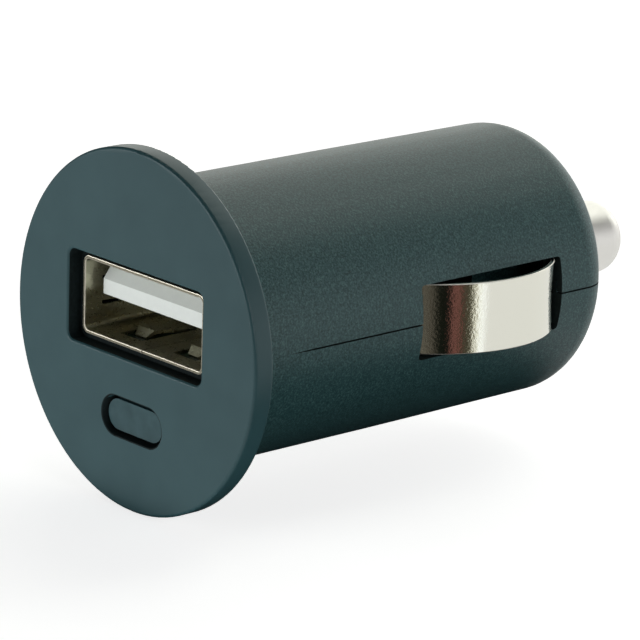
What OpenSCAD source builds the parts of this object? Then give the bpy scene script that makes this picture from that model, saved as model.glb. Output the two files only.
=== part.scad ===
// Car charger plug with one USB-A port in its face, for a 12 V lighter socket.
// +Y is the way it goes into the socket, +Z is up and +X is right, seen from the face.
// The origin is on the axis, at the flange's rear face, which stops against the socket's rim.

/* [Barrel and flange] */
// Diameter of the straight stretch of the barrel
barrel_d = 20; // [19.8:0.05:20.2]
// From the flange's rear face to the nose face
barrel_len = 34.8; // [34.6:0.1:35.6]
// How much narrower the barrel is at the nose
nose_draft = 0.14; // [0.06:0.02:0.3]
// Radius of the rounded nose edge
nose_round = 2.7; // [1.5:0.1:3]
// Thickness of the nose wall that the centre contact passes through
nose_wall = 2; // [1.6:0.1:2.2]
// Wall of the two half shells
shell_wall = 1.3; // [1.2:0.1:1.4]
// Diameter of the flange
flange_d = 25.6; // [24:0.1:28]
// Thickness of the flange
flange_t = 1.65; // [1.5:0.05:2]
// Rounding of the flange's two edges
flange_edge = 0.25; // [0.1:0.05:0.6]
// Length of the collar behind the flange, which holds the half shells together
collar_len = 3.7; // [3.5:0.1:4]
// Wall of that collar
collar_wall = 1; // [0.9:0.05:1.1]
// Thickness of the face wall, flange included
face_wall = 2; // [1.9:0.05:2.1]

/* [Parting line] */
// Width of the open seam between the half shells
seam_gap = 0.12; // [0.06:0.02:0.2]
// Depth of the open seam
seam_depth = 0.6; // [0.4:0.05:0.6]
// Distance over which the seam opens behind the collar
seam_fade = 2.4; // [1:0.1:4]
// Height of the lap joint's lip
lip_h = 0.8; // [0.5:0.05:0.9]
// Clearance round the lip
lip_play = 0.05; // [0.02:0.01:0.08]

/* [USB port] */
// Height of the port's middle above the axis
port_z = 1.22; // [1:0.02:1.5]
// Width of the window in the face
window_w = 14.4; // [14.2:0.1:15.4]
// Height of the window in the face
window_h = 6.5; // [6.4:0.1:7]
// Corner radius of the window
window_corner = 0.6; // [0.3:0.1:1.2]
// Depth of the window down to its ledge
window_depth = 1.2; // [1:0.05:1.5]
// Outer width of the receptacle shell
usb_w = 13.05; // [13:0.05:13.2]
// Outer height of the receptacle shell
usb_h = 5.6; // [5.5:0.05:5.8]
// Sheet thickness of the receptacle shell
usb_t = 0.25; // [0.22:0.01:0.3]
// Outer corner radius of the receptacle shell
usb_corner = 0.6; // [0.5:0.05:0.9]
// Length of the receptacle shell
usb_len = 14; // [13.8:0.1:14.2]
// How far the receptacle shell sits behind the face
usb_recess = 0.8; // [0.6:0.05:0.9]
// Gap between the contact tongue and each side wall of the shell
tongue_side = 0.72; // [0.6:0.02:0.9]
// Thickness of the contact tongue
tongue_t = 1.84; // [1.8:0.01:1.9]
// How far the tongue's front sits behind the face
tongue_recess = 1.85; // [1.6:0.05:2.2]
// Gap between the tongue and the shell's upper wall
tongue_gap = 0.7; // [0.7:0.01:0.8]
// Depth of the slope on the tongue's upper front edge
tongue_slope = 0.55; // [0.4:0.05:0.8]
// Height of that slope
tongue_slope_h = 0.76; // [0.5:0.02:0.9]
// Width of a spring finger
finger_w = 1.8; // [1.5:0.05:1.9]
// Gap on both sides of a spring finger
finger_gap = 0.3; // [0.25:0.01:0.35]
// How far a spring finger bows into the receptacle
finger_bow = 0.42; // [0.3:0.02:0.6]

/* [Power light] */
// Height of the light's middle, under the axis
light_z = -6.3; // [-6.4:0.05:-6.1]
// Width of the light's window
light_w = 6.4; // [6:0.1:6.6]
// Height of the light's window
light_h = 2.8; // [2.7:0.1:3.1]
// Gap round the lens in its window
lens_gap = 0.3; // [0.1:0.05:0.3]
// How far the lens sits behind the face
lens_recess = 0.35; // [0.2:0.05:0.6]

/* [Side contacts] */
// From the flange's rear face to the slot's front end
slot_start = 16; // [15.8:0.1:16.2]
// Length of the slot
slot_len = 13.5; // [13.2:0.1:13.6]
// Height of the slot
slot_h = 5.4; // [5.3:0.1:5.6]
// Width of the leaf
leaf_w = 5.1; // [4.8:0.05:5.1]
// Sheet thickness of the leaf
leaf_t = 0.3; // [0.25:0.01:0.35]
// How far the leaf's crest stands proud of the barrel
leaf_proud = 1.6; // [1.2:0.05:1.7]
// From the flange's rear face to the leaf's crest
crest_y = 23.6; // [23.4:0.1:24.2]
// Radius of the long bow in front of the crest
bow_front_r = 10; // [9.8:0.1:10.2]
// Radius of the shorter bow behind the crest
bow_rear_r = 8.5; // [7.5:0.05:8.5]
// Radius of the leaf's curled rear end
curl_r = 3; // [2.5:0.1:3.5]
// Clearance between the leaf's eye and its pin
eye_play = 0.06; // [0.03:0.01:0.1]

/* [Centre contact] */
// Diameter of the centre contact
tip_d = 5.5; // [5.3:0.05:5.6]
// How far it stands out of the nose
tip_reach = 9; // [8:0.1:10]
// Rounding of its end
tip_round = 1.75; // [1:0.05:2.2]
// Clearance round it in the nose
tip_play = 0.1; // [0.05:0.01:0.1]
// How far it can be pushed in
tip_travel = 2.5; // [2:0.1:2.5]
// Wire of its coil spring
spring_wire = 0.4; // [0.3:0.05:0.4]
// Turns of its coil spring
spring_turns = 3.75; // [3:0.25:3.75]

/* [Circuit board] */
// Thickness of the board
board_t = 1.2; // [1:0.1:1.2]
// How far the board stands out on each side of the receptacle
board_side = 0.88; // [0.7:0.02:0.9]
// Width of the board between the side contacts
tail_w = 9.2; // [8.8:0.1:9.4]
// Diameter of the two small electrolytic capacitors
can_d = 4; // [3.8:0.1:4.1]
// Length of the two small electrolytic capacitors
can_len = 7; // [6:0.5:7]
// Diameter of the inductor
coil_d = 6.4; // [5.8:0.1:6.6]

/* [Hidden] */
$fn = 96;
barrel_r = barrel_d / 2;
nose_r = barrel_r - nose_draft / 2;
flange_r = flange_d / 2;
bore_r = barrel_r - shell_wall;
collar_bore = barrel_r - collar_wall;
face_y = -flange_t;
cap_floor_y = face_y + face_wall;
nose_floor_y = barrel_len - nose_wall;

// Reach of the cuts that run past the part, across it and along it
past = 2 * barrel_r;
past_len = 2 * barrel_len;

// The half shells' spigot sits inside the collar
spigot_play = 0.05;
spigot_r = collar_bore - spigot_play;
spigot_bore = spigot_r - 0.85;
spigot_y = cap_floor_y + 0.95;
snap_w = 4;
snap_h = 0.35;
snap_y = spigot_y + 0.6;
snap_len = 0.9;
snap_play = 0.1;

// Lip of the lap joint, from just behind the collar to the dowels
lip_y = collar_len + 1;
lip_end_play = 0.2;
lip_root = 0.5;
lip_r = barrel_r - seam_depth;

// Receptacle, from its front edge to the board
usb_y = face_y + usb_recess;
usb_back = usb_y + usb_len;
usb_floor = port_z - usb_h / 2;
usb_roof = port_z + usb_h / 2;
usb_play = 0.1;
leg_y = 9;
leg_w = 1.6;
leg_drop = 2;
finger_x = 2.85;
finger_root = usb_y + 6.4;
finger_knee = usb_y + 2.85;
finger_tip = usb_y + 2.2;
finger_end = usb_y + 1.4;
finger_dip = 0.03;
finger_point = 1.1;
side_finger_w = 1.5;
side_finger_root = finger_end + 0.1;
side_finger_knee = usb_y + 5.2;
side_finger_tip = usb_y + 6.1;
tongue_y = face_y + tongue_recess;
tongue_w = usb_w - 2 * (usb_t + tongue_side);
tongue_top = usb_roof - usb_t - tongue_gap;
tongue_bottom = tongue_top - tongue_t;
block_y = usb_y + 10.4;
block_back = usb_back - usb_t - 0.05;
pin_pitch = [-3.5, -1, 1, 3.5];
pin_w = 1;
pin_t = 0.2;
pin_front = tongue_y + 1.3;
pin_tail_y = usb_back + 0.35;

// Board: its upper face carries the receptacle
board_top = usb_floor;
board_bottom = board_top - board_t;
board_y = cap_floor_y + 0.25;
board_w = usb_w + 2 * board_side;
board_step = 14.8;
board_back = 25;
rail_x = usb_w / 2 + 0.3;
rail_w = 4;
rail_y = 5.2;
rail_back = board_step - 0.6;
rail_t = 1;
rib_w = 1.8;
rib_top = 3;
rail_reach = bore_r + 0.2;
hole_play = 0.08;

// Light: a pill-shaped lens in front of a round lamp whose leads turn up to the board
lens_flange = 0.5;
lens_flange_t = 0.8;
lens_back_y = cap_floor_y + lens_flange_t + 0.35;
lamp_r = 1.5;
lamp_y = lens_back_y + 0.1;
lamp_len = 3.7;
lamp_rim = 1.7;
lamp_lead = 0.45;
lamp_pitch = 2.54;
lamp_lead_y = lamp_y + lamp_len + 1.3;

// Side contact: its bow is made of arcs that run into each other without a corner
slot_end = slot_start + slot_len;
leaf_top = barrel_r + leaf_proud;
shoulder_r = 1;
shoulder_a = 43;
foot_a = 68;
foot_len = 1.3;
rear_a = 33;
curl_a = 66;
bend_lap = 0.5;
bow_front_x = leaf_top - bow_front_r;
bow_rear_x = leaf_top - bow_rear_r;
shoulder_x = bow_front_x + (bow_front_r - shoulder_r) * cos(shoulder_a);
shoulder_y = crest_y - (bow_front_r - shoulder_r) * sin(shoulder_a);
curl_x = bow_rear_x + (bow_rear_r - curl_r) * cos(rear_a);
curl_y = crest_y + (bow_rear_r - curl_r) * sin(rear_a);
pin_r = 0.5;
eye_r = pin_r + eye_play + leaf_t;
foot_x = shoulder_x + shoulder_r * cos(foot_a) - foot_len * sin(foot_a);
foot_y = shoulder_y - shoulder_r * sin(foot_a) - foot_len * cos(foot_a);
eye_x = foot_x - eye_r * cos(foot_a);
eye_y = foot_y + eye_r * sin(foot_a);
straight_end = slot_start - 0.1;
post_r = 1.1;
post_gap = 0.12;
post_face = leaf_w / 2 + post_gap;
pin_hold = 2;
shelf_t = 0.9;
leaf_room_x = tail_w / 2 + 0.3;
leaf_room_h = slot_h / 2 + 0.2;

// Centre contact in its chamber, with the spring between its collar and the terminal
tip_r = tip_d / 2;
tip_end = barrel_len + tip_reach;
tip_bore = tip_r + tip_play;
head_r = tip_r + 0.55;
head_t = 1.2;
head_play = 0.05;
head_front = nose_floor_y - head_play;
head_back = head_front - head_t;
chamber_r = head_r + 0.15;
chamber_wall = 0.9;
bulkhead_y = board_back + 0.4;
bulkhead_t = 1.2;
chamber_y = bulkhead_y + bulkhead_t;
terminal_t = 0.5;
terminal_w = 2;
terminal_reach = 2;
terminal_play = 0.1;
spring_y = chamber_y + terminal_t;
spring_r = 2.6;
stem_r = 1.2;
stem_len = head_back - spring_y - tip_travel - 0.2;
spring_steps = 20;
spring_sides = 8;
spring_count = floor(spring_turns * spring_steps);

// Dowels near the nose line the half shells up
dowel_x = 6.9;
dowel_y = nose_floor_y - 1.6;
dowel_r = 0.7;
dowel_h = 1.5;
boss_r = 1.2;
boss_h = 2.4;
lip_back = dowel_y - boss_r;

// Parts on the board
coil_y = 18.4;
coil_h = 5.8;
can_x = 2.45;
can_y = board_step;
can_z = board_bottom - 0.35 - can_d / 2;
can_lead_y = can_y - 0.55;
can_pitch = 1.5;
part_gap = 0.1;
chip_y = 10.2;
chip_w = 3.9;
chip_len = 4.9;
chip_h = 1.45;
diode_y = board_back - 1.6;
diode_w = 3.8;
diode_len = 2.4;
diode_h = 1.9;
diode_lead = 0.9;
small_w = 1.24;
small_len = 1.2;
small_cap = 0.4;
cap_proud = 0.02;
cap_lift = 0.04;
resistor_h = 0.5;
ceramic_h = 0.8;
side_row_x = 4.9;
mid_row_x = 4.2;
front_row_y = 5.2;
mid_row_y = 8;
rear_row_y = 11.9;
wire_r = 0.3;
wire_x = rail_x - 0.82;
wire_y = 13.9;
wire_z = -post_face - pin_hold + 0.5;
wire_run = norm([eye_x - wire_x, eye_y - wire_y]);
wire_turn = atan2(eye_y - wire_y, eye_x - wire_x);

plastic = [0.25, 0.32, 0.34];
nickel = [0.75, 0.73, 0.70];
brass = [0.78, 0.62, 0.30];
gold = [0.90, 0.72, 0.32];
tin = [0.72, 0.72, 0.74];
ivory = [0.88, 0.87, 0.82];
lens_tint = [0.45, 0.55, 0.56];
fibre = [0.10, 0.36, 0.20];
black = [0.08, 0.08, 0.09];
ferrite = [0.20, 0.19, 0.19];
copper = [0.72, 0.38, 0.20];
can_blue = [0.12, 0.17, 0.40];
amber = [0.80, 0.62, 0.44];

// Extrude an outline drawn in X and Z from y0 to y1
module slab_y(y0, y1) {
    translate([0, y1, 0])
        rotate([90, 0, 0])
            linear_extrude(y1 - y0)
                children();
}

// Extrude an outline drawn in X and Y from z0 to z1
module slab_z(z0, z1) {
    translate([0, 0, z0])
        linear_extrude(z1 - z0)
            children();
}

// Extrude an outline drawn in Y and Z from x0 to x1
module slab_x(x0, x1) {
    translate([x0, 0, 0])
        rotate([90, 0, 90])
            linear_extrude(x1 - x0)
                children();
}

// Round bar along the axis
module rod_y(r, y0, y1) {
    slab_y(y0, y1)
        circle(r);
}

// Turn an outline drawn in radius and Y about the axis
module spun_y() {
    rotate([-90, 0, 0])
        rotate_extrude()
            children();
}

// Box between two corners
module block(low, high) {
    translate(low)
        cube(high - low);
}

// Rectangle with true round corners, centred
module round_rect(w, h, r) {
    union() {
        square([w - 2 * r, h], center = true);
        square([w, h - 2 * r], center = true);
        for (x = [-1, 1], y = [-1, 1])
            translate([x * (w / 2 - r), y * (h / 2 - r)])
                circle(r);
    }
}

// Pill outline, centred
module pill(w, h) {
    union() {
        square([w - h, h], center = true);
        for (x = [-1, 1])
            translate([x * (w - h) / 2, 0])
                circle(h / 2);
    }
}

// Wedge from the origin that covers the angles a0 to a1, less than 120 degrees apart
module sector(reach, a0, a1) {
    far = reach / cos((a1 - a0) / 4);
    polygon([
        [0, 0],
        far * [cos(a0), sin(a0)],
        far * [cos((a0 + a1) / 2), sin((a0 + a1) / 2)],
        far * [cos(a1), sin(a1)]
    ]);
}

// Strip of sheet bent to a radius, from angle a0 to a1
module bent_strip(r, t, a0, a1) {
    intersection() {
        difference() {
            circle(r);
            circle(r - t);
        }
        sector(r + 1, a0, a1);
    }
}

// Flange in radius and Y, with both outer edges rounded
module flange_outline() {
    union() {
        translate([0, face_y])
            square([flange_r - flange_edge, flange_t]);
        translate([0, face_y + flange_edge])
            square([flange_r, flange_t - 2 * flange_edge]);
        for (y = [face_y + flange_edge, -flange_edge])
            translate([flange_r - flange_edge, y])
                circle(flange_edge);
    }
}

// Barrel in radius and Y: straight up to the slots, then a slight draft and the rounded nose
module barrel_outline(inset) {
    union() {
        polygon([
            [0, collar_len],
            [barrel_r - inset, collar_len],
            [barrel_r - inset, straight_end],
            [nose_r - inset, barrel_len - nose_round],
            [0, barrel_len - nose_round]
        ]);
        translate([0, barrel_len - nose_round])
            square([nose_r - nose_round, nose_round - inset]);
        translate([nose_r - nose_round, barrel_len - nose_round])
            circle(nose_round - inset);
    }
}

// The seam is closed at the collar and opens over a short distance behind it
module open_seam() {
    difference() {
        slab_x(-barrel_r - 1, barrel_r + 1)
            polygon([
                [collar_len, 0],
                [collar_len + seam_fade, seam_gap / 2],
                [barrel_len + 1, seam_gap / 2],
                [barrel_len + 1, -seam_gap / 2],
                [collar_len + seam_fade, -seam_gap / 2]
            ]);
        spun_y()
            barrel_outline(seam_depth);
    }
}

// Slots in both sides of the barrel
module side_slots() {
    slab_x(-barrel_r - 1, barrel_r + 1)
        translate([slot_start + slot_len / 2, 0])
            round_rect(slot_len, slot_h, 0.3);
}

// Both half shells in one piece, before they are parted: spigot, wall and nose
module shell_body() {
    difference() {
        union() {
            rod_y(spigot_r, spigot_y, collar_len);
            spun_y()
                barrel_outline(0);
            intersection() {
                rod_y(spigot_r + snap_h, snap_y, snap_y + snap_len);
                block([-snap_w / 2, 0, -barrel_r], [snap_w / 2, barrel_len, barrel_r]);
            }
        }
        rod_y(spigot_bore, spigot_y - 1, collar_len + 1);
        rod_y(bore_r, collar_len + 0.8, nose_floor_y);
        rod_y(tip_bore, nose_floor_y - 1, barrel_len + 1);
        side_slots();
        open_seam();
    }
}

// Bulkhead and round spring chamber, with room at the sides for the pressed leaves
module spring_housing() {
    difference() {
        union() {
            rod_y(rail_reach, bulkhead_y, chamber_y);
            rod_y(chamber_r + chamber_wall, bulkhead_y, nose_floor_y + 0.2);
        }
        rod_y(chamber_r, chamber_y, nose_floor_y + 1);
        for (side = [0, 1])
            mirror([side, 0, 0])
                block([leaf_room_x, bulkhead_y - 1, -leaf_room_h], [barrel_r, chamber_y + 1, leaf_room_h]);
        block(
            [-terminal_w / 2 - terminal_play, bulkhead_y - 1, board_top - terminal_play],
            [terminal_w / 2 + terminal_play, chamber_y + 1, board_top + terminal_t + terminal_play]
        );
    }
}

// Half space above (1) or under (-1) the parting plane
module half_space(side) {
    block([-past, -past, min(side, 0) * past], [past, past_len, max(side, 0) * past]);
}

// Cap: face, flange and the collar that the half shells plug into
module front_cap() {
    color(plastic)
        difference() {
            union() {
                spun_y()
                    flange_outline();
                rod_y(barrel_r, 0, collar_len);
            }
            rod_y(collar_bore, cap_floor_y, collar_len + 1);
            intersection() {
                rod_y(spigot_r + snap_h + snap_play, snap_y - snap_play, snap_y + snap_len + snap_play);
                block(
                    [-snap_w / 2 - snap_play, 0, -barrel_r],
                    [snap_w / 2 + snap_play, collar_len, barrel_r]
                );
            }
            translate([0, 0, port_z]) {
                slab_y(face_y - 1, face_y + window_depth)
                    round_rect(window_w, window_h, window_corner);
                slab_y(face_y, cap_floor_y + 1)
                    round_rect(usb_w + 2 * usb_play, usb_h + 2 * usb_play, usb_corner + usb_play);
            }
            translate([0, 0, light_z])
                slab_y(face_y - 1, cap_floor_y + 1)
                    pill(light_w, light_h);
        }
}

// Lower half shell: lip of the lap joint, board ledges, pin posts, dowels
module lower_shell() {
    color(plastic)
        difference() {
            union() {
                intersection() {
                    union() {
                        shell_body();
                        spring_housing();
                        intersection() {
                            rod_y(rail_reach, 0, barrel_len);
                            union() {
                                for (side = [-1, 1])
                                    translate([side * (rail_x + rail_w / 2), 0, 0])
                                        block(
                                            [-rail_w / 2, rail_y, board_bottom - rail_t],
                                            [rail_w / 2, rail_back, board_bottom]
                                        );
                                for (side = [0, 1])
                                    mirror([side, 0, 0])
                                        translate([eye_x, eye_y, 0])
                                            pin_shelf();
                            }
                        }
                        dowel_bosses();
                    }
                    half_space(-1);
                }
                intersection() {
                    difference() {
                        rod_y(lip_r - lip_play, lip_y + lip_end_play, lip_back - lip_end_play);
                        rod_y(bore_r, collar_len, barrel_len);
                        side_slots();
                    }
                    block([-past, 0, -lip_root], [past, past_len, lip_h]);
                }
                for (side = [-1, 1])
                    translate([side * dowel_x, dowel_y, 0])
                        cylinder_z(dowel_r, -0.5, dowel_h);
            }
            for (side = [-1, 1])
                translate([side * eye_x, eye_y, 0])
                    cylinder_z(pin_r, -post_face - pin_hold, 0);
        }
}

// Shelf on the lower shell's wall that holds the leaf's pin and leaves its end free for the wire
module pin_shelf() {
    cylinder_z(post_r, -post_face - shelf_t, -post_face);
    block([0, -post_r, -post_face - shelf_t], [barrel_r, post_r, -post_face]);
}

// Round bar along Z
module cylinder_z(r, z0, z1) {
    slab_z(z0, z1)
        circle(r);
}

// Bosses for the dowels, in both halves, standing on the nose wall
module dowel_bosses() {
    intersection() {
        rod_y(rail_reach, 0, nose_floor_y + 0.2);
        for (side = [-1, 1])
            translate([side * dowel_x, dowel_y, 0]) {
                cylinder_z(boss_r, -boss_h, boss_h);
                block([-boss_r, 0, -boss_h], [boss_r, nose_floor_y + 0.2 - dowel_y, boss_h]);
            }
    }
}

// Upper half shell: recess of the lap joint, ribs that press the board down, pin sockets
module upper_shell() {
    color(plastic)
        difference() {
            union() {
                intersection() {
                    union() {
                        shell_body();
                        spring_housing();
                        intersection() {
                            rod_y(rail_reach, 0, barrel_len);
                            for (side = [-1, 1])
                                translate([side * eye_x, eye_y, 0])
                                    cylinder_z(post_r, post_face, barrel_r);
                        }
                        dowel_bosses();
                    }
                    half_space(1);
                }
                intersection() {
                    union() {
                        rod_y(bore_r - 0.2, 0, barrel_len);
                        intersection() {
                            rod_y(rail_reach, 0, barrel_len);
                            block([-past, 0, lip_h + lip_end_play], [past, past_len, past]);
                        }
                    }
                    for (side = [-1, 1], y = [rail_y + 0.2, rail_back - 0.4 - rib_w])
                        translate([side * (rail_x + rail_w / 2), y, 0])
                            block([-rail_w / 2, 0, board_top], [rail_w / 2, rib_w, rib_top]);
                }
            }
            difference() {
                rod_y(lip_r, lip_y, lip_back);
                rod_y(bore_r - 0.01, 0, barrel_len);
                block([-past, 0, lip_h], [past, past_len, past]);
                block([-past, 0, -past], [past, past_len, -lip_h]);
            }
            for (side = [-1, 1]) {
                translate([side * eye_x, eye_y, 0])
                    cylinder_z(pin_r + lip_play, 0, post_face + pin_hold + 0.2);
                translate([side * dowel_x, dowel_y, 0])
                    cylinder_z(dowel_r + lip_play, -1, dowel_h + 0.2);
            }
        }
}

// Spring finger of floor and roof, in Y and height above the outer wall: its end dips into its hole
module finger_outline() {
    polygon([
        [finger_root + 0.2, 0],
        [finger_root + 0.2, usb_t],
        [finger_root, usb_t],
        [finger_knee + 0.25, usb_t + finger_bow],
        [finger_knee - 0.1, usb_t + finger_bow],
        [finger_tip, finger_dip + 0.15],
        [finger_tip + 0.05, finger_dip],
        [finger_knee + 0.05, finger_bow],
        [finger_root, 0]
    ]);
}

// The same finger seen from above, narrower at its end
module finger_plan() {
    polygon([
        [-finger_w / 2, finger_root + 0.3],
        [-finger_w / 2, finger_knee],
        [-finger_point / 2, finger_tip],
        [-finger_point / 2, finger_tip - 0.1],
        [finger_point / 2, finger_tip - 0.1],
        [finger_point / 2, finger_tip],
        [finger_w / 2, finger_knee],
        [finger_w / 2, finger_root + 0.3]
    ]);
}

// Spring finger of a side wall: it starts near the mouth and its free end points inwards
module side_finger_outline() {
    polygon([
        [side_finger_root - 0.2, 0],
        [side_finger_root - 0.2, usb_t],
        [side_finger_root, usb_t],
        [side_finger_knee, usb_t + finger_bow],
        [side_finger_tip, usb_t + finger_bow - 0.25],
        [side_finger_tip, finger_bow - 0.25],
        [side_finger_knee, finger_bow],
        [side_finger_root, 0]
    ]);
}

// Folded steel receptacle shell: fingers in its roof, floor and sides, and two legs
module usb_shell() {
    color(nickel)
        union() {
            difference() {
                translate([0, 0, port_z])
                    slab_y(usb_y, usb_back)
                        difference() {
                            round_rect(usb_w, usb_h, usb_corner);
                            round_rect(usb_w - 2 * usb_t, usb_h - 2 * usb_t, usb_corner - usb_t);
                        }
                for (x = [-finger_x, finger_x])
                    block(
                        [x - finger_w / 2 - finger_gap, finger_end, usb_floor - 1],
                        [x + finger_w / 2 + finger_gap, finger_root, usb_roof + 1]
                    );
                block(
                    [-usb_w, side_finger_root, port_z - side_finger_w / 2 - finger_gap],
                    [usb_w, side_finger_tip + finger_gap, port_z + side_finger_w / 2 + finger_gap]
                );
                block([-0.04, usb_y - 1, usb_floor - 1], [0.04, usb_back + 1, usb_floor + 1]);
            }
            for (x = [-finger_x, finger_x])
                intersection() {
                    slab_x(x - finger_w / 2, x + finger_w / 2) {
                        translate([0, usb_floor])
                            finger_outline();
                        translate([0, usb_roof])
                            mirror([0, 1])
                                finger_outline();
                    }
                    translate([x, 0, 0])
                        slab_z(usb_floor - 1, usb_roof + 1)
                            finger_plan();
                }
            for (side = [0, 1])
                mirror([side, 0, 0])
                    translate([usb_w / 2, 0, 0])
                        slab_z(port_z - side_finger_w / 2, port_z + side_finger_w / 2)
                            rotate(90)
                                side_finger_outline();
            for (side = [-1, 1])
                translate([side * (usb_w - usb_t) / 2, 0, 0])
                    block(
                        [-usb_t / 2, leg_y - leg_w / 2, usb_floor - leg_drop],
                        [usb_t / 2, leg_y + leg_w / 2, usb_floor + usb_corner + 0.3]
                    );
            block(
                [-usb_w / 2 + usb_corner, usb_back - usb_t, tongue_bottom + 0.4],
                [usb_w / 2 - usb_corner, usb_back, usb_roof - usb_t / 2]
            );
        }
}

// Contact strip in Y and Z: along the tongue's underside, then down through the board
module pin_outline() {
    polygon([
        [pin_front, tongue_bottom],
        [pin_front, tongue_bottom + pin_t],
        [pin_tail_y + pin_t, tongue_bottom + pin_t],
        [pin_tail_y + pin_t, board_bottom - 0.7],
        [pin_tail_y, board_bottom - 0.7],
        [pin_tail_y, tongue_bottom]
    ]);
}

module usb_pin(i) {
    color(gold)
        slab_x(pin_pitch[i] - pin_w / 2, pin_pitch[i] + pin_w / 2)
            pin_outline();
}

module usb_pin_1() {
    usb_pin(0);
}

module usb_pin_2() {
    usb_pin(1);
}

module usb_pin_3() {
    usb_pin(2);
}

module usb_pin_4() {
    usb_pin(3);
}

// Insulator: tongue with four grooves, and the block that closes the receptacle's back
module usb_tongue() {
    color(ivory)
        difference() {
            union() {
                slab_x(-tongue_w / 2, tongue_w / 2)
                    polygon([
                        [tongue_y, tongue_bottom],
                        [tongue_y, tongue_top - tongue_slope_h],
                        [tongue_y + tongue_slope, tongue_top],
                        [block_y + 0.5, tongue_top],
                        [block_y + 0.5, tongue_bottom]
                    ]);
                translate([0, 0, port_z])
                    slab_y(block_y, block_back)
                        round_rect(usb_w - 2 * usb_t, usb_h - 2 * usb_t, usb_corner - usb_t);
            }
            for (x = pin_pitch)
                slab_x(x - pin_w / 2, x + pin_w / 2)
                    pin_outline();
        }
}

// Light pipe: the lens, its flange behind the face wall and the end that meets the lamp
module led_lens() {
    color(lens_tint)
        translate([0, 0, light_z])
            union() {
                slab_y(face_y + lens_recess, cap_floor_y + 0.1)
                    pill(light_w - 2 * lens_gap, light_h - 2 * lens_gap);
                slab_y(cap_floor_y, cap_floor_y + lens_flange_t)
                    pill(light_w + lens_flange, light_h + lens_flange);
                slab_y(cap_floor_y + lens_flange_t - 0.1, lens_back_y)
                    pill(light_w - 2, light_h - 1);
            }
}

// Round lamp with a domed end, a rim and two leads turned up through the board
module power_led() {
    color(ivory)
        union() {
            translate([0, lamp_y, light_z])
                union() {
                    translate([0, lamp_r, 0])
                        sphere(lamp_r);
                    rod_y(lamp_r, lamp_r, lamp_len);
                    rod_y(lamp_rim, lamp_len - 0.8, lamp_len);
                }
            for (side = [-1, 1])
                slab_x(side * lamp_pitch / 2 - lamp_lead / 2, side * lamp_pitch / 2 + lamp_lead / 2)
                    polygon([
                        [lamp_y + lamp_len - 0.2, light_z - lamp_lead / 2],
                        [lamp_y + lamp_len - 0.2, light_z + lamp_lead / 2],
                        [lamp_lead_y - lamp_lead / 2, light_z + lamp_lead / 2],
                        [lamp_lead_y - lamp_lead / 2, board_top - 0.1],
                        [lamp_lead_y + lamp_lead / 2, board_top - 0.1],
                        [lamp_lead_y + lamp_lead / 2, light_z - lamp_lead / 2]
                    ]);
        }
}

// Board with holes for the legs and leads
module circuit_board() {
    color(fibre)
        difference() {
            slab_z(board_bottom, board_top)
                union() {
                    translate([-board_w / 2, board_y])
                        square([board_w, board_step - board_y]);
                    translate([-tail_w / 2, board_y + 1])
                        square([tail_w, board_back - board_y - 1]);
                }
            for (side = [-1, 1]) {
                translate([side * (usb_w - usb_t) / 2, 0, 0])
                    block(
                        [-usb_t / 2 - hole_play, leg_y - leg_w / 2 - hole_play, board_bottom - 1],
                        [usb_t / 2 + hole_play, leg_y + leg_w / 2 + hole_play, board_top + 1]
                    );
                translate([side * lamp_pitch / 2, lamp_lead_y, 0])
                    cylinder_z(lamp_lead * 0.75 + hole_play, board_bottom - 1, board_top + 1);
                for (lead = [-1, 1])
                    translate([side * can_x + lead * can_pitch / 2, can_lead_y, 0])
                        cylinder_z(0.2 + hole_play, board_bottom - 1, board_top + 1);
            }
            for (x = pin_pitch)
                block(
                    [x - pin_w / 2 - hole_play, pin_tail_y - hole_play, board_bottom - 1],
                    [x + pin_w / 2 + hole_play, pin_tail_y + pin_t + hole_play, board_top + 1]
                );
        }
}

// Eight-lead converter chip under the board
module converter_chip() {
    color(black)
        union() {
            block(
                [-chip_w / 2, chip_y - chip_len / 2, board_bottom - chip_h - 0.1],
                [chip_w / 2, chip_y + chip_len / 2, board_bottom - 0.1]
            );
            for (side = [-1, 1], i = [-1.5:1:1.5])
                translate([0, chip_y + i * 1.27, board_bottom])
                    mirror([side > 0 ? 0 : 1, 0, 0])
                        slab_y(-0.2, 0.2)
                            polygon([
                                [chip_w / 2 - 0.2, -0.9],
                                [chip_w / 2 - 0.2, -0.7],
                                [chip_w / 2 + 0.5, -0.7],
                                [chip_w / 2 + 0.5, 0],
                                [chip_w / 2 + 1.05, 0],
                                [chip_w / 2 + 1.05, -0.2],
                                [chip_w / 2 + 0.7, -0.2],
                                [chip_w / 2 + 0.7, -0.9]
                            ]);
        }
}

// Drum core of the inductor, behind the receptacle
module inductor_core() {
    color(ferrite)
        translate([0, coil_y, board_top])
            union() {
                cylinder_z(coil_d / 2, 0, 0.9);
                cylinder_z(coil_d / 4, 0, coil_h);
                cylinder_z(coil_d / 2, coil_h - 0.9, coil_h);
            }
}

module inductor_winding() {
    color(copper)
        translate([0, coil_y, board_top])
            difference() {
                cylinder_z(coil_d / 2 - 0.35, 0.9, coil_h - 0.9);
                cylinder_z(coil_d / 4, 0, coil_h);
            }
}

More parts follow.
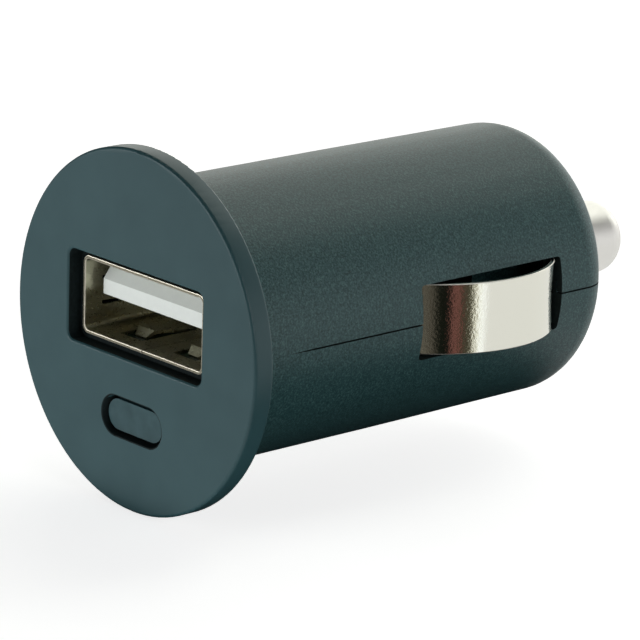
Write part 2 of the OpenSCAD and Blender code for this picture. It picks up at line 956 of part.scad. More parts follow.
// Electrolytic can lying under the board, with its leads turned up into the board
module can_capacitor(side) {
    color(can_blue)
        translate([side * can_x, 0, 0])
            union() {
                difference() {
                    translate([0, 0, can_z])
                        rod_y(can_d / 2, can_y, can_y + can_len);
                    translate([0, 0, can_z])
                        difference() {
                            rod_y(can_d / 2 + 1, can_y + 0.9, can_y + 1.3);
                            rod_y(can_d / 2 - 0.2, can_y, can_y + 2);
                        }
                }
                for (lead = [-1, 1])
                    translate([lead * can_pitch / 2, 0, 0])
                        union() {
                            translate([0, 0, can_z])
                                rod_y(0.2, can_lead_y, can_y + 0.3);
                            translate([0, can_lead_y, can_z])
                                sphere(0.2);
                            translate([0, can_lead_y, 0])
                                cylinder_z(0.2, can_z, board_top);
                        }
            }
}

module input_capacitor() {
    can_capacitor(-1);
}

module output_capacitor() {
    can_capacitor(1);
}

// Rectifier diode across the board's underside, near the terminal
module rectifier_diode() {
    color(black)
        union() {
            block(
                [-diode_w / 2, diode_y - diode_len / 2, board_bottom - part_gap - diode_h],
                [diode_w / 2, diode_y + diode_len / 2, board_bottom - part_gap]
            );
            for (side = [-1, 1])
                translate([side * (diode_w / 2 + 0.15), diode_y, 0])
                    block([-diode_lead / 2, -0.7, board_bottom - 1.1], [diode_lead / 2, 0.7, board_bottom]);
        }
}

// Small chip parts under the board: body and end caps in one piece each
module chip_part(x, y, tall) {
    translate([x, y, board_bottom - tall])
        union() {
            block([-small_w / 2, -small_len / 2, cap_lift], [small_w / 2, small_len / 2, tall - cap_lift]);
            for (side = [-1, 1])
                translate([-small_w / 2 - cap_proud, side * (small_len + small_cap) / 2 - small_cap / 2, 0])
                    cube([small_w + 2 * cap_proud, small_cap, tall]);
        }
}

module chip_resistors() {
    color(black)
        for (place = [[-side_row_x, front_row_y], [side_row_x, front_row_y], [-mid_row_x, rear_row_y]])
            chip_part(place[0], place[1], resistor_h);
}

module chip_capacitors() {
    color(amber)
        for (place = [[mid_row_x, rear_row_y], [-mid_row_x, mid_row_y], [mid_row_x, mid_row_y]])
            chip_part(place[0], place[1], ceramic_h);
}

// Bowed leaf in X and Y: curled end, short bow, long bow, shoulder, foot and eye
module leaf_outline() {
    difference() {
        union() {
            translate([bow_front_x, crest_y])
                bent_strip(bow_front_r, leaf_t, -shoulder_a, bend_lap);
            translate([bow_rear_x, crest_y])
                bent_strip(bow_rear_r, leaf_t, 0, rear_a + bend_lap);
            translate([curl_x, curl_y])
                bent_strip(curl_r, leaf_t, rear_a, curl_a);
            translate([shoulder_x, shoulder_y])
                bent_strip(shoulder_r, leaf_t, -foot_a - bend_lap, -shoulder_a + bend_lap);
            translate([foot_x, foot_y])
                rotate(90 - foot_a)
                    square([foot_len, leaf_t]);
            translate([eye_x, eye_y])
                circle(eye_r);
        }
        translate([eye_x, eye_y])
            circle(pin_r + eye_play);
    }
}

module leaf() {
    color(nickel)
        slab_z(-leaf_w / 2, leaf_w / 2)
            leaf_outline();
}

module right_leaf() {
    leaf();
}

module left_leaf() {
    mirror([1, 0, 0])
        leaf();
}

// Steel pin that the leaf's eye turns on, held in both half shells
module leaf_pin() {
    color(tin)
        translate([eye_x, eye_y, 0])
            cylinder_z(pin_r, -post_face - pin_hold, post_face + pin_hold);
}

module right_leaf_pin() {
    leaf_pin();
}

module left_leaf_pin() {
    mirror([1, 0, 0])
        leaf_pin();
}

// Wire from the foot of the leaf's pin to the board's underside
module ground_wire() {
    color(tin)
        difference() {
            union() {
                translate([wire_x, wire_y, wire_z])
                    rotate([0, 90, wire_turn])
                        cylinder(r = wire_r, h = wire_run);
                translate([wire_x, wire_y, wire_z])
                    sphere(wire_r);
                translate([wire_x, wire_y, 0])
                    cylinder_z(wire_r, wire_z, board_bottom);
            }
            translate([eye_x, eye_y, 0])
                cylinder_z(pin_r, wire_z - 2, wire_z + 2);
        }
}

module right_ground_wire() {
    ground_wire();
}

module left_ground_wire() {
    mirror([1, 0, 0])
        ground_wire();
}

// Centre contact: rounded pin, collar behind the nose wall and a stem for the spring
module centre_contact() {
    color(nickel)
        spun_y()
            union() {
                translate([0, head_back - stem_len])
                    square([stem_r, stem_len + 0.1]);
                translate([0, head_back])
                    square([head_r, head_t]);
                translate([0, head_back])
                    square([tip_r, tip_end - tip_round - head_back]);
                translate([0, head_back])
                    square([tip_r - tip_round, tip_end - head_back]);
                translate([tip_r - tip_round, tip_end - tip_round])
                    intersection() {
                        circle(tip_round);
                        square(tip_round);
                    }
            }
}

// Points round the coil spring's wire, whose middle rises evenly from the terminal to the collar
function coil_ring(i) =
    let (
        share = i / spring_count,
        a = 360 * spring_turns * share,
        low = spring_y + spring_wire / 2,
        high = head_back - spring_wire / 2,
        y = low + (high - low) * share
    )
    [
        for (k = [0:spring_sides - 1])
            let (
                b = 360 * k / spring_sides,
                r = spring_r + spring_wire / 2 * cos(b)
            )
            [r * cos(a), y + spring_wire / 2 * sin(b), r * sin(a)]
    ];

module contact_spring() {
    rings = [for (i = [0:spring_count]) coil_ring(i)];
    points = [for (ring = rings) each ring];
    n = spring_sides;
    sides = [
        for (i = [0:spring_count - 1], k = [0:n - 1])
            [i * n + k, i * n + (k + 1) % n, (i + 1) * n + (k + 1) % n, (i + 1) * n + k]
    ];
    ends = [
        [for (k = [n - 1:-1:0]) k],
        [for (k = [0:n - 1]) spring_count * n + k]
    ];
    color(tin)
        polyhedron(points, concat(sides, ends));
}

// Brass disc that the spring presses on, with a tab to the board
module positive_terminal() {
    color(brass)
        union() {
            rod_y(head_r, chamber_y, spring_y);
            block(
                [-terminal_w / 2, board_back - terminal_reach, board_top],
                [terminal_w / 2, chamber_y + terminal_t / 2, board_top + terminal_t]
            );
        }
}

front_cap();
upper_shell();
lower_shell();
usb_shell();
usb_tongue();
usb_pin_1();
usb_pin_2();
usb_pin_3();
usb_pin_4();
led_lens();
power_led();
circuit_board();
converter_chip();
inductor_core();
inductor_winding();
input_capacitor();
output_capacitor();
rectifier_diode();
chip_resistors();
chip_capacitors();
right_leaf();
left_leaf();
right_leaf_pin();
left_leaf_pin();
right_ground_wire();
left_ground_wire();
centre_contact();
contact_spring();
positive_terminal();
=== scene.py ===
import math

import bmesh
import bpy
from mathutils import Matrix, Vector


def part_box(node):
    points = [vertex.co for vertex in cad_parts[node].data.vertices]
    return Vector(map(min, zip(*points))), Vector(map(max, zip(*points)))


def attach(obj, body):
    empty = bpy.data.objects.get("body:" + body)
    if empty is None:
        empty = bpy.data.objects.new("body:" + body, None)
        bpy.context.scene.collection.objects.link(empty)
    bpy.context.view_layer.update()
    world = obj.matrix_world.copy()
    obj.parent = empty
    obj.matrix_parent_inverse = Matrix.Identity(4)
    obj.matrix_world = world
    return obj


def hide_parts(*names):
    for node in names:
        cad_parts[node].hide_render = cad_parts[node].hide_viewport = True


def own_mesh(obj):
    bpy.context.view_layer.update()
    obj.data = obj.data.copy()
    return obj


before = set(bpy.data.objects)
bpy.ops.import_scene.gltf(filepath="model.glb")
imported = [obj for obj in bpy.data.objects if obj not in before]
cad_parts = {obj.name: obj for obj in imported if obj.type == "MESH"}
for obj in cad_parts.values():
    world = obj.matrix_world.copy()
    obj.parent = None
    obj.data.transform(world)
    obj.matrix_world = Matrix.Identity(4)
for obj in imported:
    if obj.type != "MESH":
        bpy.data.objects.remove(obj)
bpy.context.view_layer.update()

# Camera: the photograph looks down on the plug from its right front. Its place, turn and lens
# were fitted to edge points of the flange, the barrel, the port and the tip.
MM = 0.001
azimuth, elevation = math.radians(48.60), math.radians(16.11)
camera_distance = 283.39 * MM
camera_aim = Vector((0, 12, 0)) * MM
yaw, pitch, roll = 0.0089, 0.0044, -0.0304
image_px, focal_px = 640, 4041.7
level_back = Vector((math.sin(azimuth), -math.cos(azimuth), 0))
backward = level_back * math.cos(elevation) + Vector((0, 0, math.sin(elevation)))
rightward = Vector((math.cos(azimuth), math.sin(azimuth), 0))
looking = Matrix((rightward, backward.cross(rightward), backward))
nudge = Matrix.Rotation(roll, 3, "Z") @ Matrix.Rotation(pitch, 3, "X") @ Matrix.Rotation(yaw, 3, "Y")
camera_data = bpy.data.cameras.new("camera")
camera_data.sensor_width = 36
camera_data.lens = focal_px / image_px * camera_data.sensor_width
camera_data.clip_start = 0.01
camera_data.clip_end = 10
camera = bpy.data.objects.new("camera", camera_data)
camera.matrix_world = (Matrix.Translation(camera_aim + backward * camera_distance)
                       @ (nudge @ looking).transposed().to_4x4())
bpy.context.scene.collection.objects.link(camera)
bpy.context.scene.camera = camera


# Front cap: the round flange with the windows for the port and the light, and the collar behind
# it. It is injection-moulded in blue-grey ABS, satin on its face and rim, and the half shells'
# spigot is snapped into its collar.
def linear(colour):
    """sRGB hex such as 3f5054 to linear red, green, blue and alpha."""
    channels = [int(colour[i:i + 2], 16) / 255 for i in (0, 2, 4)]
    return [c / 12.92 if c <= 0.04045 else ((c + 0.055) / 1.055) ** 2.4 for c in channels] + [1]


def add(tree, kind, settings=None, links=None, stops=()):
    """Add a node. Settings name its properties or inputs. Links name the sources of its inputs, and
    a node given as a source stands for its first output in use. Stops are a colour ramp's places
    and colours, in hex or linear."""
    node = tree.nodes.new("ShaderNode" + kind)
    for name, value in (settings or {}).items():
        if isinstance(name, int) or name in node.inputs:
            node.inputs[name].default_value = value
        else:
            setattr(node, name, value)
    for name, source in (links or {}).items():
        if isinstance(source, bpy.types.Node):
            source = next(output for output in source.outputs if output.enabled)
        tree.links.new(source, node.inputs[name])
    for place_on_ramp, _ in stops[1:-1]:
        node.color_ramp.elements.new(place_on_ramp)
    for number, (place_on_ramp, colour) in enumerate(stops):
        element = node.color_ramp.elements[number]
        element.position = place_on_ramp
        element.color = linear(colour) if isinstance(colour, str) else colour
    return node


def start_material(name):
    """A new material and its node tree, emptied."""
    material = bpy.data.materials.new(name)
    material.use_nodes = True
    material.node_tree.nodes.clear()
    return material, material.node_tree


# Satin ABS: a calm, slightly cloudy blue-grey with a broad soft gloss, moulded in a blasted tool.
satin_abs, tree = start_material("satin_moulded_abs")
place = add(tree, "TexCoord").outputs["Object"]
cloud_mm = 3
pore_mm = 0.12
cloud = add(tree, "TexNoise", {"Scale": 1 / (cloud_mm * MM), "Detail": 3}, {"Vector": place})
cap_tone = add(tree, "ValToRGB", None, {"Fac": cloud}, [(0.3, "2f5055"), (0.7, "34555a")])
pores = add(tree, "TexNoise", {"Scale": 1 / (pore_mm * MM), "Detail": 2}, {"Vector": place})
pore_bump = add(tree, "Bump", {"Strength": 0.12, "Distance": 0.01 * MM}, {"Height": pores})
cap_gloss = add(tree, "MapRange", {"To Min": 0.38, "To Max": 0.46}, {"Value": pores})
cap_surface = add(tree, "BsdfPrincipled", {"IOR": 1.45},
                  {"Base Color": cap_tone, "Roughness": cap_gloss, "Normal": pore_bump})
add(tree, "OutputMaterial", None, {"Surface": cap_surface})

# Spark-eroded ABS: a fine even grain whose bumps sparkle a little, helped by pale specks added to its
# colour as a painted glint. Its pits are drawn slightly coarser than the real ones, so that they show.
grained_abs, tree = start_material("spark_grained_abs")
place = add(tree, "TexCoord").outputs["Object"]
grain_mm = 0.15
painted_glint_mm = 0.13
grain = add(tree, "TexNoise", {"Scale": 1 / (grain_mm * MM), "Detail": 3, "Roughness": 0.7},
            {"Vector": place})
grain_tone = add(tree, "ValToRGB", None, {"Fac": grain},
                 [(0.34, "1a3a3b"), (0.51, "2f5254"), (0.66, "4d7171")])
# Painted glint: sparse pale specks added to the grain's colour.
painted_glint_noise = add(tree, "TexNoise", {"Scale": 1 / (painted_glint_mm * MM), "Detail": 0}, {"Vector": place})
painted_glint = add(tree, "ValToRGB", None, {"Fac": painted_glint_noise}, [(0.7, "000000"), (0.8, "2c3434")])
grain_and_painted_glint_tone = add(tree, "Mix", {"data_type": "RGBA", "blend_type": "ADD", "Factor": 1},
                  {"A": grain_tone, "B": painted_glint})
grain_bump = add(tree, "Bump", {"Strength": 0.85, "Distance": 0.02 * MM}, {"Height": grain})
barrel_gloss = add(tree, "MapRange", {"To Min": 0.38, "To Max": 0.5}, {"Value": grain})
barrel_surface = add(tree, "BsdfPrincipled", {"IOR": 1.45},
                     {"Base Color": grain_and_painted_glint_tone, "Roughness": barrel_gloss, "Normal": grain_bump})
add(tree, "OutputMaterial", None, {"Surface": barrel_surface})

# Inside walls: left dull and rough as the cutter leaves the tool, and coloured near black, a painted shade
# for the shade inside the openings and slots.
painted_shade_abs, tree = start_material("painted_shade_inside_abs")
place = add(tree, "TexCoord").outputs["Object"]
cutter_mm = 0.3
cutter = add(tree, "TexNoise", {"Scale": 1 / (cutter_mm * MM), "Detail": 2}, {"Vector": place})
painted_shade_tone = add(tree, "ValToRGB", None, {"Fac": cutter}, [(0.3, "121d1e"), (0.7, "1b2829")])
painted_shade_surface = add(tree, "BsdfPrincipled", {"IOR": 1.45, "Roughness": 0.75, "Specular IOR Level": 0.25},
                   {"Base Color": painted_shade_tone})
add(tree, "OutputMaterial", None, {"Surface": painted_shade_surface})


def merged(node):
    """A copy of the node's loose triangles, joined into plain faces, as a bmesh."""
    weld = 0.002 * MM
    flat = math.radians(0.6)
    shape = bmesh.new()
    shape.from_mesh(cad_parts[node].data)
    bmesh.ops.remove_doubles(shape, verts=shape.verts, dist=weld)
    bmesh.ops.dissolve_limit(shape, angle_limit=flat, verts=shape.verts, edges=shape.edges)
    return shape


def soften(shape, edges, width_mm, segments):
    """Round off edges of a moulding or sheet, and return the new faces."""
    return bmesh.ops.bevel(shape, geom=edges, offset=width_mm * MM, offset_type="OFFSET", affect="EDGES",
                           segments=segments, profile=0.5, clamp_overlap=True, material=-1)["faces"]


def smooth(shape, crease_degrees):
    """Smooth shading, with creases at edges that turn by more than an angle."""
    shape.normal_update()
    for face in shape.faces:
        face.smooth = True
    for edge in shape.edges:
        edge.smooth = edge.calc_face_angle(0) < math.radians(crease_degrees)


def piece_from(name, shape, materials):
    """An object in the scene, made from a finished shape."""
    mesh = bpy.data.meshes.new(name)
    shape.to_mesh(mesh)
    shape.free()
    for material in materials:
        mesh.materials.append(material)
    piece = bpy.data.objects.new(name, mesh)
    bpy.context.scene.collection.objects.link(piece)
    return piece


def dressed(name, shape, materials, node, body):
    """Stand a finished shape in for its CAD node."""
    crease_degrees = 32
    smooth(shape, crease_degrees)
    piece = piece_from(name, shape, materials)
    even = piece.modifiers.new("even_shading", "WEIGHTED_NORMAL")
    even.keep_sharp = True
    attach(piece, body)
    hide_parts(node)
    return piece


cap = merged("front_cap")
face_y = min(vertex.co.y for vertex in cap.verts)


def mouth(shape, low, high):
    """The edges of an opening in the face, between two corners (x, z) in mm."""
    on_face = 0.003 * MM
    front_facing, side_facing = 0.9, 0.3
    found = []
    for edge in shape.edges:
        inside = all(abs(v.co.y - face_y) < on_face
                     and low[0] < v.co.x / MM < high[0]
                     and low[1] < v.co.z / MM < high[1] for v in edge.verts)
        facing = [abs(face.normal.y) for face in edge.link_faces]
        if inside and len(facing) == 2 and max(facing) > front_facing and min(facing) < side_facing:
            found.append(edge)
    return found


def sort_faces(shape, outside):
    """Slot 0 outside, and slot 1 on walls that face into the plug or an opening."""
    for face in shape.faces:
        middle = face.calc_center_median()
        outward = Vector((middle.x, 0, middle.z)).normalized().dot(face.normal)
        face.material_index = 0 if outside(face, middle, outward) else 1


port_lip_mm, port_area = 0.22, ((-8, -3), (8, 6))
light_lip_mm, light_area = 0.11, ((-4, -9), (4, -4))
window_floor_y = -1.2 * MM
behind_face_y = 0.02 * MM
leaning = 0.3
soften(cap, mouth(cap, *port_area), port_lip_mm, segments=4)
light_lip = soften(cap, mouth(cap, *light_area), light_lip_mm, segments=2)
# Walls that face into the plug or an opening take slot 1, the near-black painted shade.
sort_faces(cap, lambda face, middle, outward: (outward > leaning or face.normal.y > leaning
                                               or (face.normal.y < -leaning and middle.y < window_floor_y)))
# The light's lip takes the painted shade too, as a dark line round the lens.
for face in light_lip:
    face.material_index = 1
for face in cap.faces:
    if face.material_index == 0 and face.calc_center_median().y > behind_face_y:
        face.material_index = 2
moulding = dressed("cap_moulding", cap, (satin_abs, painted_shade_abs, grained_abs), "front_cap", "housing")

# Half shells: the barrel is two mouldings in the same ABS that meet on a flat seam. They are held
# by the cap's collar in front and by dowels in the nose. Their tool is spark-eroded.
for half in ("upper", "lower"):
    barrel = merged(half + "_shell")
    # Walls that face into the plug, as in the contact slots, take slot 1, the near-black painted shade.
    sort_faces(barrel, lambda face, middle, outward: outward > leaning or face.normal.y > leaning)
    shell = dressed(half + "_barrel_half", barrel, (grained_abs, painted_shade_abs), half + "_shell", "housing")


# Receptacle: a folded sheet-steel shell with a satin nickel plate, round a white moulded tongue
# that carries four gilded strips. It is soldered to the board and stands in the cap's window.
def finish_nodes(material, *nodes):
    """Put a material in every slot of CAD nodes."""
    for name in nodes:
        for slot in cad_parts[name].material_slots:
            slot.material = material


def plated(name, colour, roughness, scratch_mm):
    """Plated metal with faint fine unevenness in its gloss."""
    material, tree = start_material(name)
    place = add(tree, "TexCoord").outputs["Object"]
    scratches = add(tree, "TexNoise", {"Scale": 1 / (scratch_mm * MM), "Detail": 3}, {"Vector": place})
    gloss = add(tree, "MapRange", {"To Min": roughness * 0.8, "To Max": roughness * 1.25},
                {"Value": scratches})
    bump = add(tree, "Bump", {"Strength": 0.05, "Distance": 0.01 * MM}, {"Height": scratches})
    metal = add(tree, "BsdfPrincipled", {"Base Color": linear(colour), "Metallic": 1},
                {"Roughness": gloss, "Normal": bump})
    add(tree, "OutputMaterial", None, {"Surface": metal})
    return material


def moulded(name, colour, roughness):
    """Moulded plastic or ceramic, with flow marks that are a little darker."""
    flow_mm = 0.4
    material, tree = start_material(name)
    place = add(tree, "TexCoord").outputs["Object"]
    flow = add(tree, "TexNoise", {"Scale": 1 / (flow_mm * MM), "Detail": 2}, {"Vector": place})
    mark_depth = 0.93
    pale = linear(colour)
    dark = [channel * mark_depth for channel in pale[:3]] + [1]
    tone = add(tree, "ValToRGB", None, {"Fac": flow}, [(0, dark), (1, pale)])
    body = add(tree, "BsdfPrincipled", {"Roughness": roughness, "IOR": 1.5}, {"Base Color": tone})
    add(tree, "OutputMaterial", None, {"Surface": body})
    return material


# Satin nickel: a grey-gold metal that blurs what it reflects. The front edge was sheared after plating and
# rubbed by plugs, and its metal is made much paler than the sheet, partly a painted highlight, so it shows
# as a thin pale line.
satin_nickel = plated("satin_nickel_sheet", "b8b49d", 0.28, 0.2)
rubbed_edge_highlight = plated("rubbed_edge_highlight", "f2ead8", 0.42, 0.1)
sheared_mm = 0.07
receptacle = merged("usb_shell")
front_y = min(vertex.co.y for vertex in receptacle.verts)
corner = math.radians(50)
at_front = 0.003 * MM
front_rim = [edge for edge in receptacle.edges
             if all(v.co.y < front_y + at_front for v in edge.verts) and edge.calc_face_angle(0) > corner]
# The front rim's rounded faces take the paler metal, partly a painted highlight.
for face in soften(receptacle, front_rim, sheared_mm, segments=2):
    face.material_index = 1
folded = dressed("receptacle_shell", receptacle, (satin_nickel, rubbed_edge_highlight), "usb_shell", "housing")

# The tongue's plastic is milk white with a faint green cast, and the strips glint a warm yellow.
finish_nodes(moulded("white_tongue_plastic", "f6fcf7", 0.4), "usb_tongue")
finish_nodes(plated("gold_flash", "e6be6a", 0.25, 0.2), "usb_pin_1", "usb_pin_2", "usb_pin_3", "usb_pin_4")

# Power light: a moulded acrylic lens, pressed into the cap from behind, with a round lamp
# behind it.
# Smoky acrylic: nearly as dark as the face, glossier, with a faint swirl.
smoky_lens, tree = start_material("smoky_lens")
place = add(tree, "TexCoord").outputs["Object"]
swirl_mm = 1.2
swirl = add(tree, "TexNoise", {"Scale": 1 / (swirl_mm * MM), "Detail": 2}, {"Vector": place})
lens_tone = add(tree, "ValToRGB", None, {"Fac": swirl}, [(0.3, "324e53"), (0.7, "3d5b60")])
lens_gloss = add(tree, "MapRange", {"To Min": 0.17, "To Max": 0.24}, {"Value": swirl})
lens_body = add(tree, "BsdfPrincipled", {"IOR": 1.49, "Transmission Weight": 0.1},
                {"Base Color": lens_tone, "Roughness": lens_gloss})
add(tree, "OutputMaterial", None, {"Surface": lens_body})
finish_nodes(smoky_lens, "led_lens")
# Lamp epoxy: milky and half glossy.
finish_nodes(moulded("lamp_epoxy", "e8e4d8", 0.3), "power_led")

# Board: a glass-epoxy board held between the half shells' rails, with the parts of a small
# step-down converter soldered to it. The closed plug hides them all.
# Its green mask is half glossy, the chips are dull black and the fired ferrite is matt dark grey.
finish_nodes(moulded("green_board", "0f2f1d", 0.4), "circuit_board")
finish_nodes(moulded("black_epoxy", "1b1b1d", 0.45), "converter_chip", "rectifier_diode", "chip_resistors")
finish_nodes(moulded("ferrite", "3a3838", 0.6), "inductor_core")
# The winding shines orange-brown under its varnish, and the cans' shrunk sleeves are dark blue.
finish_nodes(plated("enamelled_copper", "b8683c", 0.35, 0.3), "inductor_winding")
finish_nodes(moulded("can_sleeve", "24325c", 0.35), "input_capacitor", "output_capacitor")
# Fired ceramic is matt tan, tinned steel and copper a soft grey, and the brass strip dull yellow.
finish_nodes(moulded("capacitor_ceramic", "c9a57e", 0.5), "chip_capacitors")
tin_plate = plated("tin_plate", "bfc0c4", 0.35, 0.2)
finish_nodes(tin_plate, "right_leaf_pin", "left_leaf_pin", "right_ground_wire", "left_ground_wire")
finish_nodes(plated("brass_strip", "c9a24e", 0.3, 0.3), "positive_terminal")

# Side contacts: spring-steel strips, bent to a bow and nickel-plated. Each hangs on its pin at the
# slot's front end, and its own spring holds it out against the socket.
# Bright nickel: a mirror that shows the table and paper, slightly broken by the strip's skin.
bright_nickel, tree = start_material("bright_nickel")
place = add(tree, "TexCoord").outputs["Object"]
skin_mm = 0.2
skin = add(tree, "TexNoise", {"Scale": 1 / (skin_mm * MM), "Detail": 3, "Roughness": 0.6},
           {"Vector": place})
skin_bump = add(tree, "Bump", {"Strength": 0.7, "Distance": 0.015 * MM}, {"Height": skin})
nickel_gloss = add(tree, "MapRange", {"To Min": 0.03, "To Max": 0.06}, {"Value": skin})
nickel = add(tree, "BsdfPrincipled", {"Base Color": linear("e8e7dc"), "Metallic": 1},
             {"Roughness": nickel_gloss, "Normal": skin_bump})
add(tree, "OutputMaterial", None, {"Surface": nickel})
# Tumbled nickel: the edges lost their mirror in the barrel and show as a soft white line.
tumbled_nickel = plated("tumbled_nickel", "f0eee6", 0.5, 0.2)
tumbled_mm = 0.1
for side in ("right", "left"):
    leaf = merged(side + "_leaf")
    leaf_edges = [edge for edge in leaf.edges if edge.calc_face_angle(0) > corner]
    for face in soften(leaf, leaf_edges, tumbled_mm, segments=3):
        face.material_index = 1
    nickel_finish = (bright_nickel, tumbled_nickel)
    strip = dressed(side + "_contact_strip", leaf, nickel_finish, side + "_leaf", side + "_leaf")

# Contact spring: a coil of tinned wire between the board's strip and the centre contact, which shortens
# when the contact is pushed in. Here it is fixed to the housing.
coil = merged("contact_spring")
coil_crease_degrees = 40
smooth(coil, coil_crease_degrees)
spring = piece_from("coil_spring", coil, (tin_plate,))
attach(spring, "housing")
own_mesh(spring)
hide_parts("contact_spring")

# Centre contact: a turned brass pin with a round nose, plated with nickel. Its collar holds it in
# the half shells' chamber, and the coil pushes it out.
# Turned nickel: silver-grey and satin, with broad soft highlights.
finish_nodes(plated("turned_nickel", "e6e4e0", 0.42, 0.3), "centre_contact")


# Floor: white paper under the flange. The camera, metal and clear plastic see it as white as the
# backdrop, and it keeps the plug's shadow.
def sheet_on_floor(name, corners_mm, material):
    """Flat stage piece just under the flange, from its corners (x, y)."""
    clear_of_flange = 0.01 * MM
    floor_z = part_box("front_cap")[0][2] - clear_of_flange
    sheet = bmesh.new()
    sheet.faces.new([sheet.verts.new((x * MM, y * MM, floor_z)) for x, y in corners_mm])
    piece_from(name, sheet, (material,))


def paper_shader(tree):
    """Matt white paper, lifted to white for the camera, metal and clear plastic."""
    paper_glow = 0.75
    mirror_share = 0.7
    matt = add(tree, "BsdfDiffuse", {"Color": linear("e8e8e8")})
    rays = add(tree, "LightPath").outputs
    mirror = add(tree, "Math", {"operation": "MAXIMUM"},
                 {0: rays["Is Glossy Ray"], 1: rays["Is Transmission Ray"]})
    dimmed = add(tree, "Math", {"operation": "MULTIPLY", 1: mirror_share}, {0: mirror})
    seen = add(tree, "Math", {"operation": "MAXIMUM"}, {0: rays["Is Camera Ray"], 1: dimmed})
    level = add(tree, "Math", {"operation": "MULTIPLY", 1: paper_glow}, {0: seen})
    glow = add(tree, "Emission", None, {"Strength": level})
    both = add(tree, "AddShader", None, {0: matt, 1: glow})
    return both, rays["Is Camera Ray"]


def paper_to_camera(tree, emission):
    """Let the camera see paper, and every other ray a light of its own."""
    paper_face, camera_ray = paper_shader(tree)
    seen = add(tree, "MixShader", None, {0: camera_ray, 1: emission, 2: paper_face})
    add(tree, "OutputMaterial", None, {"Surface": seen})


reach = 400
table_near, table_middle, table_far = (25, 23.0), (32, 24.5), (reach, 102.7)
white_paper, tree = start_material("white_paper")
add(tree, "OutputMaterial", None, {"Surface": paper_shader(tree)[0]})
paper_edge = [(-reach, -3), (-30, -3), (-30, 38), (13, 38), (13, 35), (32, 35),
              table_middle, table_far, (reach, reach), (-reach, reach)]
sheet_on_floor("paper", paper_edge, white_paper)

# Shade: the paper close under the plug, where its shadow is deepest, looks dark from the plug.
shaded_paper, tree = start_material("shaded_paper")
paper_to_camera(tree, add(tree, "Emission", {"Color": linear("14181a"), "Strength": 1}))
shade_edge = [(-30, -3), (25, -3), table_near, table_middle, (32, 35), (13, 35), (13, 38), (-30, 38)]
sheet_on_floor("shade", shade_edge, shaded_paper)

# Table: in front of the plug the paper ends on a dark table, which shows in the chrome and on the
# plug's underside, while the camera's own view is all paper. Seen from the right-hand contact it
# runs from pale grey-brown past a dark green cloth and a red one to the cream edge of the paper.
dark_table, tree = start_material("dark_table")
place = add(tree, "TexCoord").outputs["Object"]
fan_middle = Vector((11, 20, 0)) * MM
fan_start, fan_end = math.radians(-60), math.radians(10)
streak_mm = 3
dapple_mm = 1
table_level = 1.35
spoke = add(tree, "VectorMath", {"operation": "SUBTRACT", 1: fan_middle}, {0: place})
spoke_part = add(tree, "SeparateXYZ", None, {"Vector": spoke})
turn = add(tree, "Math", {"operation": "ARCTAN2"}, {0: spoke_part.outputs["Y"], 1: spoke_part.outputs["X"]})
streaks = add(tree, "TexNoise", {"Scale": 1 / (streak_mm * MM), "Detail": 5, "Roughness": 0.75},
              {"Vector": place})
wobble = add(tree, "MapRange", {"To Min": -0.09, "To Max": 0.09}, {"Value": streaks})
wobbled = add(tree, "Math", {"operation": "ADD"}, {0: turn, 1: wobble})
fan = add(tree, "MapRange", {"From Min": fan_start, "From Max": fan_end}, {"Value": wobbled})
spread = add(tree, "ValToRGB", None, {"Fac": fan},
             [(0.0, "b4b4ae"), (0.1, "7a766c"), (0.34, "58544b"), (0.39, "1b1e18"), (0.55, "1a1e18"),
              (0.60, "8a5e57"), (0.68, "7d544c"), (0.73, "4a4438"), (0.86, "6d6a58"), (0.895, "f4f2e2"),
              (0.93, "c9c9c0"), (0.955, "f0f4f6")])
dapple = add(tree, "TexNoise", {"Scale": 1 / (dapple_mm * MM), "Detail": 6, "Roughness": 0.8},
             {"Vector": place})
dapple_tone = add(tree, "ValToRGB", None, {"Fac": dapple}, [(0.42, "505050"), (0.6, "ffffff")])
cloth_part = add(tree, "ValToRGB", None, {"Fac": fan}, [(0.86, "ffffff"), (0.91, "000000")])
cloth = add(tree, "Mix", {"data_type": "RGBA", "blend_type": "MULTIPLY"},
            {"Factor": cloth_part, "A": spread, "B": dapple_tone})
paper_to_camera(tree, add(tree, "Emission", {"Strength": table_level}, {"Color": cloth}))
table_edge = [(28, -reach), (reach, -reach), table_far, table_near, (25, -3), (28, -3)]
sheet_on_floor("table", table_edge, dark_table)

# Bounce sheet: lit paper at the left in front, which lights the face and the tongue from below.
# Metal sees it darker, as the paper's shaded side.
bounce_sheet, tree = start_material("bounce_sheet")
mirror_ray = add(tree, "LightPath").outputs["Is Glossy Ray"]
bounce_level = add(tree, "MapRange", {"To Min": 1.25, "To Max": 0.33}, {"Value": mirror_ray})
paper_to_camera(tree, add(tree, "Emission", None, {"Strength": bounce_level}))
sheet_on_floor("bounce", [(-reach, -reach), (28, -reach), (28, -3), (-reach, -3)], bounce_sheet)

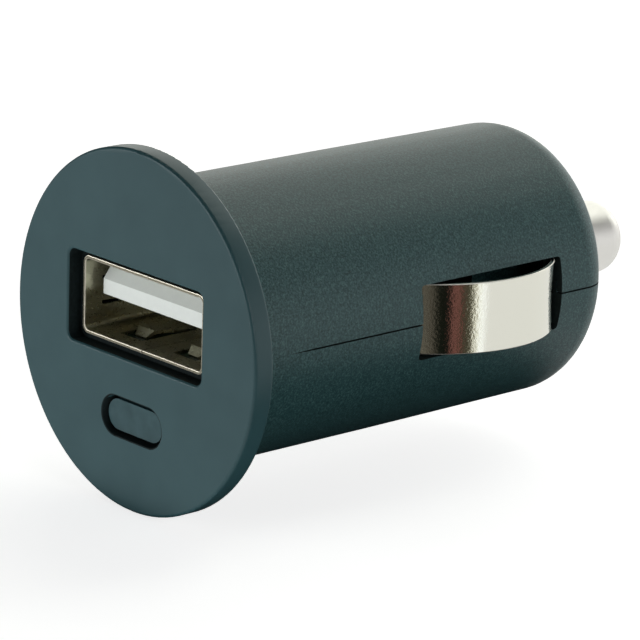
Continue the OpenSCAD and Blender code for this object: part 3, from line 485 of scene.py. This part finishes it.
# Studio: a white backdrop behind the plug, up to about 30 degrees, and a dim room round the
# camera. The camera itself sees white all round.
studio = bpy.data.worlds.new("studio")
bpy.context.scene.world = studio
studio.use_nodes = True
tree = studio.node_tree
tree.nodes.clear()
backdrop_turn = math.radians(165)
backdrop_middle = Vector((math.sin(backdrop_turn), -math.cos(backdrop_turn), 0))
toward = add(tree, "TexCoord").outputs["Generated"]
rise = add(tree, "SeparateXYZ", None, {"Vector": toward}).outputs["Z"]
height_tone = add(tree, "ValToRGB", None, {"Fac": rise}, [(0.2, "ffffff"), (0.5, "505050")])
facing = add(tree, "VectorMath", {"operation": "DOT_PRODUCT", 1: backdrop_middle}, {0: toward})
width_tone = add(tree, "ValToRGB", None, {"Fac": facing}, [(0.2, "303030"), (0.75, "ffffff")])
backdrop = add(tree, "Mix", {"data_type": "RGBA", "blend_type": "MULTIPLY", "Factor": 1},
               {"A": height_tone, "B": width_tone})
room = add(tree, "Background", None, {"Color": backdrop})
white = add(tree, "Background", {"Color": (1, 1, 1, 1)})
camera_ray = add(tree, "LightPath").outputs["Is Camera Ray"]
around = add(tree, "MixShader", None, {0: camera_ray, 1: room, 2: white})
add(tree, "OutputWorld", None, {"Surface": around})


# Lamps: low windows in front and to the right, and softboxes behind.
def softbox(name, turn, rise, size, level, colour):
    """Area lamp facing the plug. At level 1 it alone shows a colour as written."""
    turn, rise = math.radians(turn), math.radians(rise)
    toward = Vector((math.sin(turn) * math.cos(rise), -math.cos(turn) * math.cos(rise), math.sin(rise)))
    plug_middle = Vector((0, 15, 0)) * MM
    lamp_distance = 0.6
    light = bpy.data.lights.new(name, "AREA")
    light.shape = "RECTANGLE"
    light.size, light.size_y = size
    light.energy = level * (math.pi * lamp_distance) ** 2
    light.color = linear(colour)[:3]
    lamp = bpy.data.objects.new(name, light)
    lamp.location = plug_middle + toward * lamp_distance
    lamp.rotation_euler = (-toward).to_track_quat("-Z", "Y").to_euler()
    bpy.context.scene.collection.objects.link(lamp)


softbox("front_window", -28, 7, (0.6, 0.12), 0.36, "fbfeff")
softbox("right_window", 86, 18, (0.25, 0.25), 0.20, "fbfeff")
softbox("rear_box", 220, 28, (0.44, 0.66), 0.33, "fdfff6")
softbox("rear_strip", 178, 40, (0.25, 0.7), 0.26, "fdfff6")

bpy.context.scene.view_settings.view_transform = "Standard"
